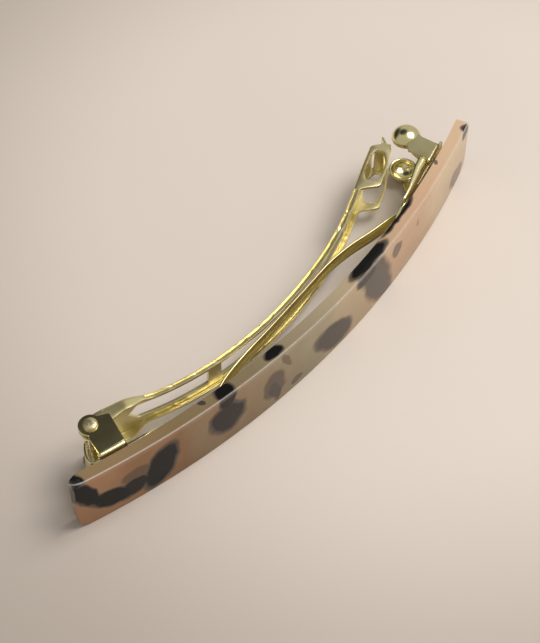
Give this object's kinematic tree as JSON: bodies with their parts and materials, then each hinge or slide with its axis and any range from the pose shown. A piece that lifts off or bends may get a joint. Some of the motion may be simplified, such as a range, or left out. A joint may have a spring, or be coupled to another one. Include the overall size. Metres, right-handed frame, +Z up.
{
  "type": "barrette",
  "caption": "Curved tortoiseshell acetate hair barrette with a hinged metal clasp arm, bowed spring and squeeze latch.",
  "frame": {"origin": "middle of the bar's lower long edge, on the edge face it stands on", "axes": "+X along the bar's chord from the hinge end to the latch end, -Y out of the convex face, +Z up across the bar's width"},
  "size_m": [0.0948, 0.0182, 0.012],
  "materials": {
    "acetate": "polished, mottled tortoiseshell",
    "glue": "clear",
    "gold_metal": "polished pale gold plating"
  },
  "bodies": {
    "root": {"acetate_bar": "acetate", "adhesive_film": "glue", "base_plate": "gold_metal", "hinge_pin": "gold_metal", "bow_spring": "gold_metal"},
    "arm": {"clasp_arm": "gold_metal"},
    "upper_ear": {"latch_ear_upper": "gold_metal"},
    "lower_ear": {"latch_ear_lower": "gold_metal"}
  },
  "joints": [
    {"name": "arm_hinge", "type": "hinge", "parent": "root", "child": "arm", "pos_m": [-0.0379, 0.01285, 0.006], "axis": [0, 0, 1], "range_deg": [-4, 100]},
    {"name": "upper_ear_squeeze", "type": "hinge", "parent": "root", "child": "upper_ear", "pos_m": [0.038, 0.00683, 0.01105], "axis": [-0.9649, -0.2625, 0], "range_deg": [0, 4], "stiffness_Nm_per_rad": 0.3},
    {"name": "lower_ear_squeeze", "type": "hinge", "parent": "root", "child": "lower_ear", "pos_m": [0.038, 0.00683, 0.00095], "axis": [0.9649, 0.2625, 0], "range_deg": [0, 4], "stiffness_Nm_per_rad": 0.3}
  ]
}
